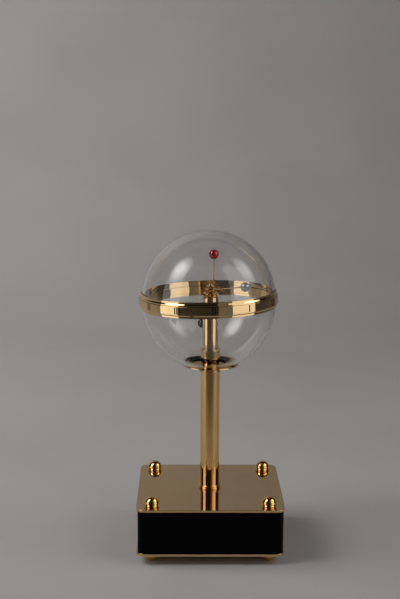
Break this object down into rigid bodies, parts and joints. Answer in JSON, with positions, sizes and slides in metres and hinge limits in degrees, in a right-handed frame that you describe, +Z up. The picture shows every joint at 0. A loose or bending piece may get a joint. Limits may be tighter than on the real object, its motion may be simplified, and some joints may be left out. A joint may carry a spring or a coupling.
{
  "type": "globe table clock",
  "caption": "Table clock: beads on wires turn round a hub inside a clear globe and point at Roman hours on a brass equator ring, on a column over a square black and gilt base.",
  "frame": {"origin": "on the surface the clock stands on, under the axis of the column", "axes": "+Z up the column, +X to the right of a viewer in front, -Y towards the viewer"},
  "size_m": [0.109, 0.109, 0.2409],
  "materials": {
    "polished_brass": "mirror-polished gilt brass",
    "brass_wire": "drawn brass wire",
    "train_brass": "plain turned and cut brass",
    "steel": "bright steel",
    "black_case": "polished black",
    "clear_plastic": "clear acrylic",
    "white_plastic": "moulded",
    "copper_wire": "enamelled winding",
    "circuit_green": "solder mask",
    "cell_jacket": "plain jacket",
    "black_enamel": "enamel filled into the band",
    "red_bead": "gloss red",
    "grey_bead": "silver grey",
    "blue_bead": "gloss dark blue"
  },
  "bodies": {
    "base": {"battery_cell": "cell_jacket", "battery_contacts": "steel", "battery_cover_rails": "black_case", "battery_holder": "white_plastic", "bottom_plate": "polished_brass", "case_body": "black_case", "circuit_board": "circuit_green", "clamp_collar": "polished_brass", "column_cap": "polished_brass", "column_foot_collar": "polished_brass", "column_nut": "polished_brass", "column_stud": "polished_brass", "column_tube": "polished_brass", "dish": "polished_brass", "dome_feet": "polished_brass", "finial_nuts": "polished_brass", "hour_numerals": "black_enamel", "inner_tube": "polished_brass", "lower_hemisphere": "clear_plastic", "lower_ring": "polished_brass", "minute_wheel_stud": "steel", "motor_coil": "copper_wire", "motor_housing": "white_plastic", "movement_lower_plate": "train_brass", "movement_pillars": "train_brass", "movement_screws": "steel", "movement_standoffs": "train_brass", "movement_upper_plate": "train_brass", "numeral_band": "polished_brass", "quartz_crystal": "steel", "seat_washer": "clear_plastic", "tie_rods": "steel", "top_plate": "polished_brass", "tube_top_bush": "polished_brass", "upper_hemisphere": "clear_plastic", "upper_ring": "polished_brass"},
    "minute_hand": {"minute_pipe": "train_brass", "centre_wheel": "train_brass", "cannon_pinion": "train_brass", "minute_hub": "polished_brass", "minute_arm": "brass_wire", "minute_ball": "grey_bead"},
    "hour_hand": {"hour_pipe": "train_brass", "hour_wheel": "train_brass", "hour_hub": "polished_brass", "hour_arm": "brass_wire", "hour_ball": "blue_bead"},
    "seconds_hand": {"seconds_arbor": "steel", "seconds_wheel": "train_brass", "seconds_hub": "polished_brass", "seconds_wire": "brass_wire", "seconds_ball": "red_bead"},
    "third_arbor_group": {"third_wheel": "train_brass", "third_arbor": "steel"},
    "minute_wheel_group": {"minute_wheel": "train_brass"},
    "setting_group": {"setting_shaft": "steel", "setting_knob": "train_brass"},
    "motor_rotor": {"motor_pinion": "steel", "rotor_magnet": "steel"},
    "cover": {"battery_cover": "black_case"}
  },
  "joints": [
    {"name": "minute_turn", "type": "hinge", "parent": "base", "child": "minute_hand", "pos_m": [0, 0, 0.1895], "axis": [0, 0, -1], "continuous": true},
    {"name": "hour_turn", "type": "hinge", "parent": "base", "child": "hour_hand", "pos_m": [0, 0, 0.1895], "axis": [0, 0, -1], "continuous": true},
    {"name": "seconds_turn", "type": "hinge", "parent": "base", "child": "seconds_hand", "pos_m": [0, 0, 0.1895], "axis": [0, 0, -1], "continuous": true},
    {"name": "third_turn", "type": "hinge", "parent": "base", "child": "third_arbor_group", "pos_m": [-0.0204, 0, 0.018], "axis": [0, 0, -1], "continuous": true},
    {"name": "minute_wheel_turn", "type": "hinge", "parent": "base", "child": "minute_wheel_group", "pos_m": [0, 0.012, 0.026], "axis": [0, 0, -1], "continuous": true},
    {"name": "setting_turn", "type": "hinge", "parent": "base", "child": "setting_group", "pos_m": [0, 0.0255, 0.012], "axis": [0, 0, -1], "continuous": true},
    {"name": "motor_turn", "type": "hinge", "parent": "base", "child": "motor_rotor", "pos_m": [0.016, 0, 0.0146], "axis": [0, 0, -1], "continuous": true},
    {"name": "cover_slide", "type": "slide", "parent": "base", "child": "cover", "axis": [0, 1, 0], "range_m": [0, 0.019]}
  ],
  "couplings": [
    {"joint": "minute_turn", "follows": "hour_turn", "ratio": 12},
    {"joint": "seconds_turn", "follows": "hour_turn", "ratio": 720},
    {"joint": "third_turn", "follows": "hour_turn", "ratio": -96},
    {"joint": "minute_wheel_turn", "follows": "hour_turn", "ratio": -4},
    {"joint": "setting_turn", "follows": "hour_turn", "ratio": 8},
    {"joint": "motor_turn", "follows": "hour_turn", "ratio": -2160}
  ]
}
